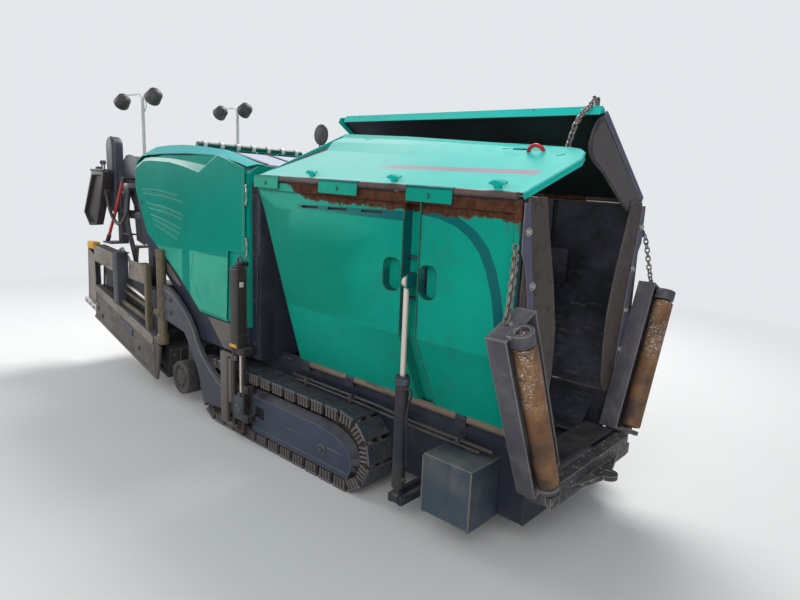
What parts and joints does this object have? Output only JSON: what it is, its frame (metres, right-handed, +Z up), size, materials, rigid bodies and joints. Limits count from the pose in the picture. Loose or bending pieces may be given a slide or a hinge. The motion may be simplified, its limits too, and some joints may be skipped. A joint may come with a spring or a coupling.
{
  "type": "tracked asphalt paver",
  "caption": "Compact tracked road paver with folded hopper wings, push rollers, slat conveyor, augers and an extendable raised screed.",
  "frame": {"origin": "on the ground at the middle of the overall length and width", "axes": "+X towards the hopper and travel direction, +Y left, +Z up"},
  "size_m": [4.9248, 1.7398, 2.39],
  "materials": {
    "green": "satin",
    "grey": "satin",
    "blue_grey": "satin, chipped",
    "track_steel": "worn",
    "worn_black": "worn",
    "hopper_steel": "scratched",
    "rod_chrome": "polished",
    "rusty_roller": "rusty",
    "engine_black": "matt",
    "silver_panel": "satin",
    "pale_steel": "satin",
    "worn_steel": "worn",
    "screed_steel": "worn"
  },
  "bodies": {
    "chassis": {"chassis": "grey", "track_frames": "grey", "track_right": "track_steel", "track_left": "track_steel", "crossbar": "worn_black", "apron": "worn_black", "hopper_floor": "hopper_steel", "conveyor": "track_steel", "bulkhead": "grey", "ballast_boxes": "blue_grey", "engine": "engine_black", "hood": "green", "top_panel": "silver_panel", "handrail": "green", "mirror": "engine_black", "lamp_masts": "pale_steel", "console": "grey", "auger_gear": "worn_black", "tow_guides": "grey"},
    "wing_right": {"wing_right": "green"},
    "wing_left": {"wing_left": "green"},
    "flap_right": {"flap_right": "green"},
    "flap_left": {"flap_left": "green"},
    "wing_barrel_right": {"wing_barrel_right": "grey"},
    "wing_barrel_left": {"wing_barrel_left": "grey"},
    "wing_rod_right": {"wing_rod_right": "rod_chrome"},
    "wing_rod_left": {"wing_rod_left": "rod_chrome"},
    "bracket_right": {"bracket_right": "grey"},
    "bracket_left": {"bracket_left": "grey"},
    "roller_right": {"roller_right": "rusty_roller"},
    "roller_left": {"roller_left": "rusty_roller"},
    "door_right": {"door_right": "green"},
    "door_left": {"door_left": "green"},
    "auger_right": {"auger_right": "worn_steel"},
    "auger_left": {"auger_left": "worn_steel"},
    "tow_sliders": {"tow_sliders": "rod_chrome"},
    "screed": {"tow_arms": "grey", "screed_base": "screed_steel", "screed_deck": "grey"},
    "ext_right": {"ext_right": "screed_steel"},
    "ext_left": {"ext_left": "screed_steel"}
  },
  "joints": [
    {"name": "wing_right_fold", "type": "hinge", "parent": "chassis", "child": "wing_right", "pos_m": [1.5, -0.462, 0.585], "axis": [1, 0, 0], "range_deg": [0, 50]},
    {"name": "flap_right_fold", "type": "hinge", "parent": "wing_right", "child": "flap_right", "pos_m": [1.28, -0.64, 1.69], "axis": [0.9997, 0, -0.0262], "range_deg": [-4, 40]},
    {"name": "wing_cylinder_right_swing", "type": "hinge", "parent": "chassis", "child": "wing_barrel_right", "pos_m": [1.625, -0.662, 0.15], "axis": [1, 0, 0], "range_deg": [0, 32.5]},
    {"name": "wing_rod_right_slide", "type": "slide", "parent": "wing_barrel_right", "child": "wing_rod_right", "axis": [0, 0, 1], "range_m": [-0.27, 0]},
    {"name": "bracket_right_fold", "type": "hinge", "parent": "chassis", "child": "bracket_right", "pos_m": [2.27, -0.416, 0.32], "axis": [1, 0, 0], "range_deg": [0, 66]},
    {"name": "roller_right_spin", "type": "hinge", "parent": "bracket_right", "child": "roller_right", "pos_m": [2.331, -0.416, 0.32], "axis": [0, -0.4067, 0.9135], "continuous": true},
    {"name": "door_right_swing", "type": "hinge", "parent": "chassis", "child": "door_right", "pos_m": [0.242, -0.63, 1.2], "axis": [0, 0, 1], "range_deg": [0, 75]},
    {"name": "auger_right_spin", "type": "hinge", "parent": "chassis", "child": "auger_right", "pos_m": [-0.56, -0.3, 0.235], "axis": [0, 1, 0], "continuous": true},
    {"name": "ext_right_slide", "type": "slide", "parent": "screed", "child": "ext_right", "axis": [0, -1, 0], "range_m": [0, 0.5]},
    {"name": "wing_left_fold", "type": "hinge", "parent": "chassis", "child": "wing_left", "pos_m": [1.5, 0.462, 0.585], "axis": [-1, 0, 0], "range_deg": [0, 50]},
    {"name": "flap_left_fold", "type": "hinge", "parent": "wing_left", "child": "flap_left", "pos_m": [1.28, 0.64, 1.69], "axis": [-0.9997, 0, 0.0262], "range_deg": [-13, 35]},
    {"name": "wing_cylinder_left_swing", "type": "hinge", "parent": "chassis", "child": "wing_barrel_left", "pos_m": [1.625, 0.662, 0.15], "axis": [-1, 0, 0], "range_deg": [0, 32.5]},
    {"name": "wing_rod_left_slide", "type": "slide", "parent": "wing_barrel_left", "child": "wing_rod_left", "axis": [0, 0, 1], "range_m": [-0.27, 0]},
    {"name": "bracket_left_fold", "type": "hinge", "parent": "chassis", "child": "bracket_left", "pos_m": [2.27, 0.416, 0.32], "axis": [-1, 0, 0], "range_deg": [0, 66]},
    {"name": "roller_left_spin", "type": "hinge", "parent": "bracket_left", "child": "roller_left", "pos_m": [2.331, 0.416, 0.32], "axis": [0, 0.4067, 0.9135], "continuous": true},
    {"name": "door_left_swing", "type": "hinge", "parent": "chassis", "child": "door_left", "pos_m": [0.242, 0.63, 1.2], "axis": [0, 0, -1], "range_deg": [0, 75]},
    {"name": "auger_left_spin", "type": "hinge", "parent": "chassis", "child": "auger_left", "pos_m": [-0.56, 0.3, 0.235], "axis": [0, 1, 0], "continuous": true},
    {"name": "ext_left_slide", "type": "slide", "parent": "screed", "child": "ext_left", "axis": [0, 1, 0], "range_m": [0, 0.5]},
    {"name": "tow_point_lift", "type": "slide", "parent": "chassis", "child": "tow_sliders", "axis": [0, 0, 1], "range_m": [0, 0.17]},
    {"name": "screed_lift", "type": "hinge", "parent": "tow_sliders", "child": "screed", "pos_m": [0.23, 0, 0.22], "axis": [0, 1, 0], "range_deg": [-14, 0]}
  ],
  "couplings": [
    {"joint": "wing_cylinder_right_swing", "follows": "wing_right_fold", "ratio": 0.64},
    {"joint": "wing_rod_right_slide", "follows": "wing_right_fold", "m_per_rad": -0.3067},
    {"joint": "wing_cylinder_left_swing", "follows": "wing_left_fold", "ratio": 0.64},
    {"joint": "wing_rod_left_slide", "follows": "wing_left_fold", "m_per_rad": -0.3067},
    {"joint": "screed_lift", "follows": "tow_point_lift", "rad_per_m": -1.4365}
  ]
}
